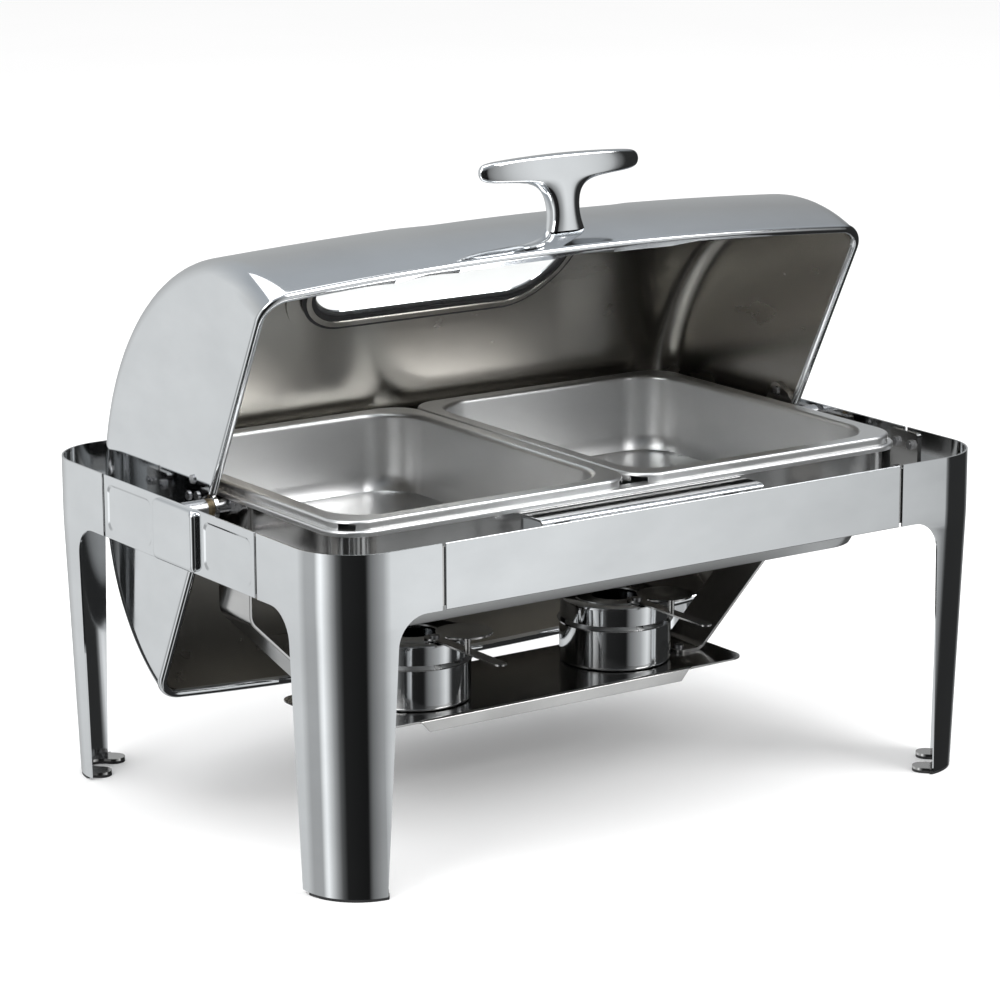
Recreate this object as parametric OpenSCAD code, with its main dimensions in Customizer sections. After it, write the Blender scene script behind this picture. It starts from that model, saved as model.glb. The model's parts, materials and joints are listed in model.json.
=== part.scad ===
// Roll top chafer: a leg frame that carries a water pan with two food pans,
// a lid that rolls open about two side pivots, and two fuel holders on a shelf.
// X runs along the long side, -Y is the serving side and Z is up from the floor.

/* [Pans] */
// Width of one food pan, along the long side
pan_w = 265; // [230:1:320]
// Front to back size of a food pan
pan_d = 325; // [275:1:390]
// Depth of a food pan below its rim
pan_depth = 65; // [40:1:66]

/* [Frame] */
// Height of the frame's top edge
frame_h = 264; // [230:1:320]
// Height of the panels between the legs
band_h = 50; // [44:1:60]
// Radius of the frame's upright corners
corner_r = 50; // [44:1:60]
// Radius of a leg's corner at the floor
foot_r = 46; // [40:1:50]
// How far each leg leans in at the floor
leg_lean = 7; // [0:1:10]
// Thickness of the legs and panels
sheet_t = 1.5; // [1:0.1:1.8]
// Width of a leg's wing along the long side
wing_x = 94; // [90:1:112]
// Width of a leg's wing along the short side
wing_y = 104; // [98:1:106]
// Gap between a wing and the next panel
panel_gap = 3; // [1:0.5:4]

/* [Lid] */
// Angle between the open lid and the closed lid
open_angle = 63; // [50:1:65]
// Thickness of the lid sheet
lid_t = 1.2; // [0.8:0.1:1.5]
// Radius of the rounded edge between the roll and each end wall
edge_r = 22; // [18:1:26]
// Half width of the window opening
window_half = 117; // [90:1:140]
// Length of the handle's bar
bar_l = 153; // [120:1:184]
// Reach of the handle's bar in front of the lid
handle_reach = 48; // [42:1:58]
// Height of the handle's bar above its foot on the closed lid
handle_rise = 25; // [15:1:30]

/* [Burners] */
// Radius of a fuel holder
holder_r = 47; // [40:1:56]
// Distance of each holder from the middle
holder_x = 99; // [85:1:105]
// Front to back size of the burner shelf
shelf_d = 120; // [104:1:130]
// Width of a hanger strap
hanger_w = 46; // [40:1:55]

/* [Hidden] */

// Overall sizes follow from the pans.
frame_l = 2 * pan_w + 92;
frame_d = pan_d + 117;
half_l = frame_l / 2;
half_d = frame_d / 2;
band_z = frame_h - band_h;
pad_t = 2.2;
foot_plate_t = 2;
knee_x = half_l - 56.5;
toe_x = half_l - 49;
knee_y = half_d - 61;
toe_y = half_d - 58;
arch_r = 24;

// Joint straps bridge each gap between a wing and a panel.
strap_w = 34;
strap_h = band_h - 6;
strap_t = 2;
stud_r = 2;
stud_dx = 9.5;
stud_dz = 12;
nut_r = 4;
nut_t = 3;

// Pan seats
water_rim_z = frame_h + 2;
food_rim_z = frame_h + 9;
water_half_x = pan_w + 4;
water_half_y = pan_d / 2 + 3.5;
water_skirt = 4.5;
ring_half_x = pan_w - 5;
ring_half_y = pan_d / 2 - 2.5;
ring_t = 2;
ring_h = 36;
ring_z = water_rim_z - 1 - ring_h;
water_bottom_z = food_rim_z - pan_depth - 26;

// Lid pivot and profile
pivot_z = frame_h - 8;
lid_half_x = half_l - 26;
lid_half_y = half_d - 21;
lid_height = pan_d / 2 + 9.5;
rim_low = -1.5;
rim_high = 2.5;
rim_w = 7;
pivot_r = 4;
run_gap = 0.05;
notch_r = 9;
lug_r = 13;
hinge_t = 3;
hinge_half_w = 15;
hinge_top = 34;
stop_pin_r = 3;
stop_pin_reach = 24;
plate_t = 3;
cover_half_w = 31;
cover_h = band_h - 2;
cover_depth = 5;

// Window and handle, measured from the front lip around the roll
window_from = 26;
window_to = 79;
window_corner = 38;
seal_t = 1.5;
pane_t = 2.5;
handle_h = 32;
bar_r = 8;

// Burner shelf and hangers
shelf_z = frame_h - 190;
shelf_t = 1.5;
shelf_half_x = max(holder_x + holder_r + 44, ring_half_x - 70);
flange_half_x = shelf_half_x - 58;
flange_h = 9;
hanger_t = 2.5;
hanger_foot_x = shelf_half_x - 22;
hanger_toe_x = hanger_foot_x - 20;
holder_z = shelf_z + shelf_t;
cup_h = 33.5;
cap_top = 54.5;
bead_w = 2;
flame_r = 19;

function ellipse_points(a, b, low) =
    [for (t = [180:-7.5:0]) [a * cos(t), max(b * sin(t), low)]];
function roll_point(t, inset) =
    [-(lid_half_y - inset) * cos(t), (lid_height - inset) * sin(t)];

module rounded_rect(x, y, r) {
    square([x - 2 * r, y], center = true);
    square([x, y - 2 * r], center = true);
    for (sx = [-1, 1], sy = [-1, 1])
        translate([sx * (x / 2 - r), sy * (y / 2 - r)]) circle(r, $fn = 48);
}

module rounded_slab(x, y, r, z, t) {
    translate([0, 0, z]) linear_extrude(t) rounded_rect(x, y, r);
}

module both_sides() {
    children();
    mirror([1, 0, 0]) children();
}

module quarter(sx, sy) {
    mirror([sx < 0 ? 1 : 0, 0, 0]) mirror([0, sy < 0 ? 1 : 0, 0]) children();
}

module each_quarter() {
    for (sx = [-1, 1], sy = [-1, 1]) quarter(sx, sy) children();
}

// Upright cylinder laid along X, from x1 to x2
module x_rod(x1, x2, r) {
    translate([x1, 0, 0]) rotate([0, 90, 0]) cylinder(h = x2 - x1, r = r, $fn = 48);
}

// Cylinder laid along Y, from y1 to y2
module y_rod(y1, y2, r) {
    translate([0, y2, 0]) rotate([90, 0, 0]) cylinder(h = y2 - y1, r = r, $fn = 48);
}

// Puts closed-lid coordinates at the open stop.
module at_lid() {
    translate([0, 0, pivot_z]) rotate([-open_angle, 0, 0]) children();
}

// ---- Legs and panels ----

// Outline of one wing: full height band, arch, then the tapering leg
module wing_outline(outer, gap_edge, knee, toe) {
    arc = [for (a = [90:-15:0])
        [knee - arch_r + arch_r * cos(a), band_z - arch_r + arch_r * sin(a)]];
    polygon(concat([[outer + 1, 0], [outer + 1, frame_h + 1], [gap_edge, frame_h + 1],
        [gap_edge, band_z]], arc, [[toe, 0]]));
}

// Points of a rounded rectangle at one height, as 13 points on each corner
function rect_ring(x, y, r, z) = [for (q = [0:3], i = [0:12])
    let (a = 90 * q + 7.5 * i,
        sx = (q == 0 || q == 3) ? 1 : -1,
        sy = (q < 2) ? 1 : -1)
    [sx * (x / 2 - r) + r * cos(a), sy * (y / 2 - r) + r * sin(a), z]];

// Solid through a stack of such rings, lowest first
module ring_stack(rings) {
    n = len(rings[0]);
    last = len(rings) - 1;
    polyhedron(
        points = [for (ring = rings) each ring],
        faces = concat(
            [[for (i = [0:n - 1]) i]],
            [[for (i = [n - 1:-1:0]) last * n + i]],
            [for (k = [0:last - 1], i = [0:n - 1]) let (j = (i + 1) % n)
                [k * n + i, (k + 1) * n + i, (k + 1) * n + j]],
            [for (k = [0:last - 1], i = [0:n - 1]) let (j = (i + 1) % n)
                [k * n + i, (k + 1) * n + j, k * n + j]]));
}

// Block with the frame's outline, upright down the band and leaning in below it
module leaning_block(inset, extra) {
    foot_inset = leg_lean + inset;
    slope = leg_lean / (band_z - pad_t);
    low = foot_inset + slope * extra;
    ring_stack([
        rect_ring(frame_l - 2 * low, frame_d - 2 * low, foot_r - inset, pad_t - extra),
        rect_ring(frame_l - 2 * inset, frame_d - 2 * inset, corner_r - inset, band_z),
        rect_ring(frame_l - 2 * inset, frame_d - 2 * inset, corner_r - inset, frame_h + extra)]);
}

module leg() {
    color("silver") difference() {
        intersection() {
            leaning_block(0, 0);
            union() {
                translate([0, half_d + 1, 0]) rotate([90, 0, 0]) linear_extrude(corner_r + 1)
                    wing_outline(half_l, half_l - wing_x, knee_x, toe_x);
                translate([half_l - corner_r, 0, 0]) rotate([90, 0, 90])
                    linear_extrude(corner_r + 1)
                        wing_outline(half_d, half_d - wing_y, knee_y, toe_y);
                translate([0, 0, band_z]) linear_extrude(band_h) {
                    translate([half_l - wing_x, half_d - 20]) square([wing_x, 21]);
                    translate([half_l - 20, half_d - wing_y]) square([21, wing_y]);
                }
            }
        }
        leaning_block(sheet_t, 1);
    }
}

module leg_front_left() { quarter(-1, -1) leg(); }
module leg_front_right() { quarter(1, -1) leg(); }
module leg_rear_left() { quarter(-1, 1) leg(); }
module leg_rear_right() { quarter(1, 1) leg(); }

module long_panel() {
    width = frame_l - 2 * (wing_x + panel_gap);
    color("gainsboro") translate([-width / 2, -half_d, band_z]) cube([width, sheet_t, band_h]);
}

module front_panel() { long_panel(); }
module rear_panel() { mirror([0, 1, 0]) long_panel(); }

// Side panel with two shallow pressed fields and holes for the pivot bolt
module side_panel() {
    depth = frame_d - 2 * (wing_y + panel_gap);
    field_w = depth / 2 - cover_half_w - 14;
    color("gainsboro") difference() {
        translate([half_l - sheet_t, -depth / 2, band_z]) cube([sheet_t, depth, band_h]);
        for (side = [-1, 1])
            translate([half_l - 0.6, side * (depth / 2 - 5 - field_w / 2), band_z + band_h / 2])
                rotate([90, 0, 90]) linear_extrude(1)
                    rounded_rect(field_w, band_h - 12, 6);
        translate([0, 0, pivot_z]) x_rod(half_l - 5, half_l + 1, pivot_r + run_gap);
    }
}

module left_panel() { mirror([1, 0, 0]) side_panel(); }
module right_panel() { side_panel(); }

// Places a strap in each of the eight gaps; the strap's own +Z points inward.
module each_gap() {
    mid_z = band_z + band_h / 2;
    each_quarter() {
        translate([half_l - wing_x - panel_gap / 2, half_d - sheet_t, mid_z])
            rotate([90, 0, 0]) children();
        translate([half_l - sheet_t, half_d - wing_y - panel_gap / 2, mid_z])
            rotate([90, 0, -90]) children();
    }
}

module each_stud() {
    for (dx = [-1, 1], dz = [-1, 1]) translate([dx * stud_dx, dz * stud_dz, 0]) children();
}

module joint_straps() {
    color("darkgray") each_gap() difference() {
        linear_extrude(strap_t) rounded_rect(strap_w, strap_h, 3);
        each_stud() translate([0, 0, -1]) cylinder(h = strap_t + 2, r = stud_r + 0.1, $fn = 24);
    }
}

// Weld studs on the backs of the panels, each with its nut
module strap_nuts() {
    color("gray") each_gap() each_stud() {
        cylinder(h = strap_t + nut_t + 0.5, r = stud_r, $fn = 24);
        translate([0, 0, strap_t]) cylinder(h = nut_t, r = nut_r, $fn = 6);
    }
}

// ---- Feet ----

// Plan of a foot in its corner: X and Y run inward from the leg's corner.
module foot_plan(wall) {
    finger_x = 19;
    notch_r = 9.5;
    intersection() {
        translate([foot_r, foot_r]) circle(foot_r - wall, $fn = 64);
        rotate(45) translate([0, -30]) square([33, 60]);
        difference() {
            square([toe_x, toe_y]);
            rotate(45) {
                translate([33, 0]) circle(notch_r, $fn = 32);
                translate([33, -notch_r]) square([40, 2 * notch_r]);
            }
        }
    }
    for (side = [-1, 1]) rotate(45) translate([0, side * finger_x]) {
        translate([39, 0]) circle(9, $fn = 32);
        translate([31, -9]) square([8, 18]);
    }
}

module at_foot(z) {
    each_quarter() translate([half_l - leg_lean, half_d - leg_lean, z])
        rotate(180) children();
}

module foot_plates() {
    color("dimgray") at_foot(pad_t) linear_extrude(foot_plate_t) foot_plan(sheet_t + 0.15);
}

module foot_pads() {
    color("black") at_foot(0) linear_extrude(pad_t) foot_plan(0.3);
}

// ---- Pan support, ledge and pivots ----

module pan_support_ring() {
    color("gray") difference() {
        rounded_slab(2 * ring_half_x, 2 * ring_half_y, 26, ring_z, ring_h);
        rounded_slab(2 * (ring_half_x - ring_t), 2 * (ring_half_y - ring_t), 26 - ring_t,
            ring_z - 1, ring_h + 2);
        both_sides() {
            translate([0, 0, pivot_z])
                x_rod(ring_half_x - 10, ring_half_x + 1, pivot_r + run_gap);
            at_hanger_rivets() x_rod(ring_half_x - 10, ring_half_x + 1, 2.1);
        }
        at_ring_screws() y_rod(-ring_half_y - 1, -ring_half_y + 10, 2.1);
    }
}

ledge_half = 105;
ledge_t = 2;
ledge_z = pivot_z - 8;
ledge_step_z = pivot_z + 2;

module at_ring_screws() {
    for (x = [-80, 80]) translate([x, 0, ledge_step_z - 12]) children();
}

module at_panel_screws() {
    for (x = [-80, 80]) translate([x, 0, ledge_z - 16]) children();
}

bumper_y = -(lid_half_y - rim_w / 2 + 0.5);

// Stepped ledge that ties the ring to the front panel and takes the closed lid
module front_ledge() {
    back = -ring_half_y;
    step = back - 26;
    front = -half_d + sheet_t;
    color("lightgray") difference() {
        translate([-ledge_half, 0, 0]) rotate([90, 0, 90]) linear_extrude(2 * ledge_half)
            polygon([
                [back, ledge_step_z - 22], [back, ledge_step_z], [step, ledge_step_z],
                [step, ledge_z], [front, ledge_z], [front, ledge_z - 24],
                [front + ledge_t, ledge_z - 24], [front + ledge_t, ledge_z - ledge_t],
                [step + ledge_t, ledge_z - ledge_t], [step + ledge_t, ledge_step_z - ledge_t],
                [back - ledge_t, ledge_step_z - ledge_t], [back - ledge_t, ledge_step_z - 22]]);
        at_ring_screws() y_rod(back - 5, back + 1, 2.1);
        at_panel_screws() y_rod(front - 1, front + 5, 2.1);
        for (x = [-80, 80]) translate([x, bumper_y, ledge_z - 5]) cylinder(h = 6, r = 2.1, $fn = 24);
    }
}

// Screws through the ledge's tabs, with their nuts
module ledge_screws() {
    back = -ring_half_y;
    front = -half_d + sheet_t;
    color("gray") {
        at_ring_screws() {
            y_rod(back - ledge_t - 5, back + ring_t, 2);
            y_rod(back - ledge_t - 2.5, back - ledge_t, nut_r);
            y_rod(back + ring_t, back + ring_t + 1.2, 3.5);
        }
        at_panel_screws() {
            y_rod(front, front + ledge_t + 4, 2);
            y_rod(front + ledge_t, front + ledge_t + nut_t, nut_r);
        }
    }
}

module closing_bumpers() {
    color("black") for (x = [-80, 80]) translate([x, bumper_y, ledge_z]) {
        cylinder(h = pivot_z + rim_low - 0.1 - ledge_z, r = 6, $fn = 32);
        translate([0, 0, -ledge_t - 2]) cylinder(h = ledge_t + 2, r = 2, $fn = 24);
    }
}

// The stop pin touches the rear half of the rim when the lid is fully open.
stop_drop = stop_pin_r + 0.05 - rim_low;
stop_y = stop_pin_reach * cos(open_angle) - stop_drop * sin(open_angle);
stop_z = -stop_pin_reach * sin(open_angle) - stop_drop * cos(open_angle);

module pivot_plates() {
    color("gray") both_sides() translate([half_l - sheet_t - plate_t, 0, 0]) difference() {
        translate([0, -45, band_z + 4]) cube([plate_t, 90, band_h - 8]);
        translate([0, 0, pivot_z]) {
            x_rod(-1, plate_t + 1, pivot_r + run_gap);
            translate([0, stop_y, stop_z]) x_rod(-1, plate_t + 1, stop_pin_r - 1);
        }
    }
}

// Pressed cover that hides the head of each pivot bolt
module pivot_covers() {
    color("gainsboro") both_sides() translate([half_l, 0, band_z + band_h / 2])
        rotate([90, 0, 90]) difference() {
            linear_extrude(cover_depth) rounded_rect(2 * cover_half_w, cover_h, 5);
            translate([0, 0, -1]) linear_extrude(cover_depth - sheet_t + 1)
                rounded_rect(2 * (cover_half_w - sheet_t), cover_h - 2 * sheet_t, 5 - sheet_t);
        }
}

module pivot_bolts() {
    color("gray") both_sides() translate([0, 0, pivot_z]) {
        x_rod(ring_half_x - ring_t + 0.2, half_l, pivot_r);
        x_rod(half_l, half_l + 3, 5.2);
    }
}

bush_in = lid_half_x - lid_t - hinge_t - 1;
bush_out = lid_half_x + 1.5;
nut_out = ring_half_x + hanger_t + 4.5;
inner_spacer_r = water_rim_z - water_skirt - pivot_z - 0.3;

module tube(x1, x2, r) {
    color("gray") both_sides() translate([0, 0, pivot_z]) difference() {
        x_rod(x1, x2, r);
        x_rod(x1 - 1, x2 + 1, pivot_r + run_gap);
    }
}

module outer_spacers() { tube(bush_out + 0.3, half_l - sheet_t - plate_t, 7); }
module inner_spacers() { tube(nut_out, bush_in - 0.3, inner_spacer_r); }

module pivot_nuts() {
    color("gray") both_sides() translate([0, 0, pivot_z]) difference() {
        translate([ring_half_x + hanger_t, 0, 0]) rotate([0, 90, 0])
            cylinder(h = 4.5, r = 7.5, $fn = 6);
        x_rod(ring_half_x, nut_out + 1, pivot_r + run_gap);
    }
}

module stop_pins() {
    color("gray") both_sides() translate([0, stop_y, pivot_z + stop_z]) {
        x_rod(lid_half_x - rim_w + 1, half_l - sheet_t - plate_t, stop_pin_r);
        x_rod(half_l - sheet_t - plate_t, half_l - sheet_t - 0.2, stop_pin_r - 1);
    }
}

// ---- Burner shelf and its hangers ----

module at_hanger_rivets() {
    for (y = [-14, 14]) translate([0, y, ring_z + 8]) children();
}

module at_shelf_screws() {
    for (y = [-12, 12]) translate([hanger_foot_x - 12, y, 0]) children();
}

// Bent strap: foot on the shelf, 45 degree rise, then up the outside of the ring
module hanger() {
    x0 = hanger_toe_x;
    x1 = hanger_foot_x + 3;
    x2 = ring_half_x;
    z0 = holder_z;
    bend_out = 0.414 * hanger_t;
    color("dimgray") difference() {
        translate([0, hanger_w / 2, 0]) rotate([90, 0, 0]) linear_extrude(hanger_w)
            polygon([
                [x0, z0], [x1 + bend_out, z0], [x2 + hanger_t, z0 + x2 + hanger_t - x1 - bend_out],
                [x2 + hanger_t, water_rim_z - 5], [x2, water_rim_z - 5],
                [x2, z0 + x2 + hanger_t - x1], [x1, z0 + hanger_t], [x0, z0 + hanger_t]]);
        translate([0, 0, pivot_z]) x_rod(ring_half_x - 1, ring_half_x + 5, pivot_r + run_gap);
        at_hanger_rivets() x_rod(ring_half_x - 1, ring_half_x + 5, 2.1);
        at_shelf_screws() translate([0, 0, z0 - 1]) cylinder(h = 5, r = 2.1, $fn = 24);
    }
}

module hanger_left() { mirror([1, 0, 0]) hanger(); }
module hanger_right() { hanger(); }

module hanger_rivets() {
    color("gray") both_sides() at_hanger_rivets() {
        x_rod(ring_half_x - ring_t, ring_half_x + hanger_t, 2);
        x_rod(ring_half_x - ring_t - 1.2, ring_half_x - ring_t, 3.5);
        x_rod(ring_half_x + hanger_t, ring_half_x + hanger_t + 1.2, 3.5);
    }
}

module shelf_flange_outline() {
    difference() {
        translate([-flange_half_x, -flange_h]) square([2 * flange_half_x, flange_h]);
        for (side = [-1, 1]) translate([side * flange_half_x, -flange_h])
            rotate(45) square(6, center = true);
    }
}

module burner_shelf() {
    color("dimgray") difference() {
        union() {
            rounded_slab(2 * shelf_half_x, shelf_d, 14, shelf_z, shelf_t);
            for (side = [-1, 1])
                translate([0, side * (shelf_d - shelf_t) / 2 + shelf_t / 2, shelf_z])
                    rotate([90, 0, 0]) linear_extrude(shelf_t) shelf_flange_outline();
        }
        both_sides() at_shelf_screws() translate([0, 0, shelf_z - 1])
            cylinder(h = 4, r = 2.1, $fn = 24);
    }
}

module shelf_screws() {
    color("gray") both_sides() at_shelf_screws() {
        translate([0, 0, shelf_z - 4]) cylinder(h = shelf_t + hanger_t + 4, r = 2, $fn = 24);
        translate([0, 0, holder_z + hanger_t]) cylinder(h = 2, r = nut_r, $fn = 32);
        translate([0, 0, shelf_z - nut_t]) cylinder(h = nut_t, r = nut_r, $fn = 6);
    }
}

// ---- Lid, in closed-lid coordinates about the pivot ----

// Half elliptical loaf whose edges to the end walls are rounded, as rings along X
module loaf(inset, low) {
    turns = [90:-15:0];
    stations = concat(
        [for (a = turns) [-(lid_half_x - inset - edge_r + edge_r * sin(a)), edge_r * (1 - cos(a))]],
        [for (a = [0:15:90]) [lid_half_x - inset - edge_r + edge_r * sin(a), edge_r * (1 - cos(a))]]);
    rings = [for (s = stations) [for (p = ellipse_points(lid_half_y - inset - s[1],
        lid_height - inset - s[1], low)) [s[0], p[0], p[1]]]];
    n = len(rings[0]);
    last = len(rings) - 1;
    polyhedron(
        points = [for (ring = rings) each ring],
        faces = concat(
            [[for (i = [n - 1:-1:0]) i]],
            [[for (i = [0:n - 1]) last * n + i]],
            [for (k = [0:last - 1], i = [0:n - 1]) let (j = (i + 1) % n)
                [k * n + i, k * n + j, (k + 1) * n + j]],
            [for (k = [0:last - 1], i = [0:n - 1]) let (j = (i + 1) % n)
                [k * n + i, (k + 1) * n + j, (k + 1) * n + i]]));
}

// Prism that cuts the window: grow widens its outline on every side
module window_prism(grow) {
    a = roll_point(window_from, 0);
    b = roll_point(window_to, 0);
    mid = (a + b) / 2;
    span = norm(b - a);
    tilt = atan2(b[1] - a[1], b[0] - a[0]);
    translate([0, mid[0], mid[1]]) rotate([tilt, 0, 0]) translate([0, 0, -25])
        linear_extrude(75)
            rounded_rect(2 * (window_half + grow), span + 2 * grow, window_corner + grow);
}

module at_handle_screws() {
    for (x = [-9, 9]) translate([x, 0, handle_h]) children();
}

module at_hinge_rivets() {
    for (p = [[-8, 26], [8, 26], [0, 15]]) translate([0, p[0], p[1]]) children();
}

module lid_shell() {
    color("gainsboro") at_lid() difference() {
        loaf(0, rim_high);
        loaf(lid_t, 0);
        window_prism(0);
        both_sides() {
            x_rod(lid_half_x - 10, lid_half_x + 1, notch_r);
            at_hinge_rivets() x_rod(lid_half_x - 10, lid_half_x + 1, 2.1);
        }
        at_handle_screws() y_rod(-lid_half_y - 5, -lid_half_y + 30, 2.6);
    }
}

// Rolled rim around the mouth of the lid
module lid_rim() {
    color("silver") at_lid() difference() {
        rounded_slab(2 * lid_half_x + 1.6, 2 * lid_half_y + 1.6, edge_r + 0.8,
            rim_low, rim_high - rim_low);
        rounded_slab(2 * (lid_half_x - rim_w), 2 * (lid_half_y - rim_w), edge_r - rim_w,
            rim_low - 1, rim_high - rim_low + 2);
        both_sides() x_rod(lid_half_x - 10, lid_half_x + 3, lug_r + 0.5);
    }
}

// Plates inside the end walls, each with a lug that carries the pivot bush
module hinge_plates() {
    color("silver") at_lid() both_sides()
        translate([lid_half_x - lid_t - hinge_t, 0, 0]) difference() {
            rotate([90, 0, 90]) linear_extrude(hinge_t) {
                circle(lug_r, $fn = 48);
                translate([0, (hinge_top + 6) / 2])
                    rounded_rect(2 * hinge_half_w, hinge_top - 6, 8);
                translate([-lug_r, 0]) square([2 * lug_r, 10]);
            }
            x_rod(-1, hinge_t + 1, 7.05);
            at_hinge_rivets() x_rod(-1, hinge_t + 1, 2.1);
        }
}

module hinge_bushes() {
    color("goldenrod") at_lid() both_sides() difference() {
        x_rod(bush_in, bush_out, 7);
        x_rod(bush_in - 1, bush_out + 1, pivot_r + run_gap);
    }
}

module hinge_rivets() {
    color("gray") at_lid() both_sides() at_hinge_rivets() {
        x_rod(lid_half_x - lid_t - hinge_t - 1.2, lid_half_x - lid_t - hinge_t, 3.5);
        x_rod(lid_half_x - lid_t - hinge_t, lid_half_x, 2);
        x_rod(lid_half_x, lid_half_x + 1.3, 3.5);
    }
}

module window_seal() {
    color("black") at_lid() intersection() {
        difference() {
            loaf(lid_t + 0.05, 5);
            loaf(lid_t + 0.05 + seal_t, 0);
        }
        difference() {
            window_prism(12);
            window_prism(1);
        }
    }
}

module lid_window() {
    color([0.85, 0.93, 0.95, 0.35]) at_lid() intersection() {
        difference() {
            loaf(lid_t + 0.1 + seal_t, 5);
            loaf(lid_t + 0.1 + seal_t + pane_t, 0);
        }
        window_prism(11);
    }
}

// Cast handle: a foot on the roll, a waisted stem and a round bar along X
module lid_handle() {
    bar_y = -lid_half_y + 3 - handle_reach;
    bar_h = handle_h + handle_rise;
    waist_h = handle_h + handle_rise / 3;
    color("silver") at_lid() difference() {
        union() {
            translate([0, bar_y, bar_h]) {
                x_rod(-bar_l / 2 + bar_r, bar_l / 2 - bar_r, bar_r);
                for (side = [-1, 1]) translate([side * (bar_l / 2 - bar_r), 0, 0])
                    sphere(r = bar_r, $fn = 32);
            }
            hull() {
                translate([0, 0, handle_h]) y_rod(-lid_half_y, -lid_half_y + 8, 17);
                translate([0, 0, waist_h]) y_rod(-lid_half_y - 20, -lid_half_y - 16, 13);
            }
            hull() {
                translate([0, 0, waist_h]) y_rod(-lid_half_y - 20, -lid_half_y - 16, 13);
                translate([0, bar_y + 4, bar_h - 2]) x_rod(-24, 24, 9);
            }
            hull() {
                translate([0, bar_y + 4, bar_h - 2]) x_rod(-24, 24, 9);
                translate([0, bar_y, bar_h]) x_rod(-42, 42, bar_r - 1);
            }
        }
        loaf(-0.05, 0);
        at_handle_screws() y_rod(-lid_half_y - 18, -lid_half_y + 30, 2.55);
    }
}

module handle_screws() {
    head_r = 4.5;
    seat_h = (handle_h + head_r + 0.5) / (lid_height - lid_t);
    head_y = 0.05 - (lid_half_y - lid_t) * sqrt(1 - seat_h * seat_h);
    color("gray") at_lid() at_handle_screws() {
        y_rod(-lid_half_y - 15, head_y, 2.5);
        y_rod(head_y, head_y + 3, head_r);
    }
}

// ---- Pans ----

// A pan between its rim height and its bottom: x and y are half sizes of the rim.
module pan(x, y, rim_r, rim_z, skirt, lip, bottom_z, t) {
    bx = x - lip;
    by = y - lip;
    well_r = 38;
    difference() {
        union() {
            rounded_slab(2 * x, 2 * y, rim_r, rim_z - skirt, skirt);
            hull() {
                rounded_slab(2 * bx, 2 * by, well_r, rim_z - 1, 0.5);
                rounded_slab(2 * bx - 6, 2 * by - 6, well_r, bottom_z + 14, 0.5);
                rounded_slab(2 * bx - 12, 2 * by - 12, well_r, bottom_z + 5, 0.5);
                rounded_slab(2 * bx - 26, 2 * by - 26, well_r - 6, bottom_z, 0.5);
            }
        }
        difference() {
            rounded_slab(2 * (x - t), 2 * (y - t), rim_r - t, rim_z - skirt - 1, skirt + 1 - t);
            rounded_slab(2 * bx, 2 * by, well_r, rim_z - skirt - 2, skirt + 2);
        }
        hull() {
            rounded_slab(2 * (bx - t), 2 * (by - t), well_r - t, rim_z + 0.6, 0.5);
            rounded_slab(2 * (bx - t) - 6, 2 * (by - t) - 6, well_r - t, bottom_z + 14 + t, 0.5);
            rounded_slab(2 * (bx - t) - 12, 2 * (by - t) - 12, well_r - t, bottom_z + 5 + t, 0.5);
            rounded_slab(2 * (bx - t) - 26, 2 * (by - t) - 26, well_r - 6 - t, bottom_z + t, 0.5);
        }
    }
}

module water_pan() {
    color("silver") pan(water_half_x, water_half_y, 30, water_rim_z, water_skirt, 15,
        water_bottom_z, 1);
}

module food_pan(side) {
    color("lightgray") translate([side * pan_w / 2, 0, 0])
        pan(pan_w / 2 - 0.5, pan_d / 2, 26, food_rim_z, food_rim_z - water_rim_z, 14,
            food_rim_z - pan_depth, 1);
}

module food_pan_left() { food_pan(-1); }
module food_pan_right() { food_pan(1); }

// ---- Fuel holders ----

module at_holder(side) {
    translate([side * holder_x, 0, holder_z]) children();
}

module holder(side) {
    color("silver") at_holder(side) difference() {
        cylinder(h = cup_h, r = holder_r - 1, $fn = 64);
        translate([0, 0, 1]) cylinder(h = cup_h, r = holder_r - 2, $fn = 64);
    }
}

snuffer_post = [0, -30];

// Cap with a bead that rests on the cup, a skirt inside it and a flame hole
module cap(side) {
    skirt_r = holder_r - 2.5;
    color("silver") at_holder(side) difference() {
        union() {
            translate([0, 0, cup_h - 8]) cylinder(h = cap_top - cup_h + 8, r = skirt_r, $fn = 64);
            translate([0, 0, cup_h]) cylinder(h = 3, r = holder_r + bead_w - 1, $fn = 64);
            translate([0, 0, cup_h + 3]) cylinder(h = cap_top - cup_h - 3, r = holder_r - 1.5, $fn = 64);
        }
        translate([0, 0, cup_h - 9]) cylinder(h = cap_top - cup_h + 9 - 1.2, r = skirt_r - 1, $fn = 64);
        translate([0, 0, cap_top - 3]) cylinder(h = 5, r = flame_r, $fn = 48);
        translate([snuffer_post[0], snuffer_post[1], cap_top - 3]) cylinder(h = 5, r = 2.1, $fn = 24);
    }
}

// Disc that covers the flame hole, with a lever to the front and an upright finger pin
module snuffer(side) {
    z = cap_top + 0.2;
    lever_r = 5;
    lever_end_y = -122;
    lever_l = 90;
    finger_y = -77;
    color("dimgray") at_holder(side) {
        difference() {
            union() {
                translate([0, 0, z]) linear_extrude(1.5) {
                    translate([29, -29]) circle(flame_r + 4, $fn = 48);
                    translate([snuffer_post[0], snuffer_post[1]]) circle(8, $fn = 32);
                    translate([0, -37]) square([16, 14]);
                    translate([-lever_r, lever_end_y]) square([2 * lever_r, lever_l]);
                    translate([0, lever_end_y]) circle(lever_r, $fn = 32);
                }
                translate([0, finger_y, z]) cylinder(h = 11, r = 2.5, $fn = 24);
            }
            translate([snuffer_post[0], snuffer_post[1], z - 1]) cylinder(h = 4, r = 2.05, $fn = 24);
        }
    }
}

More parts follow.
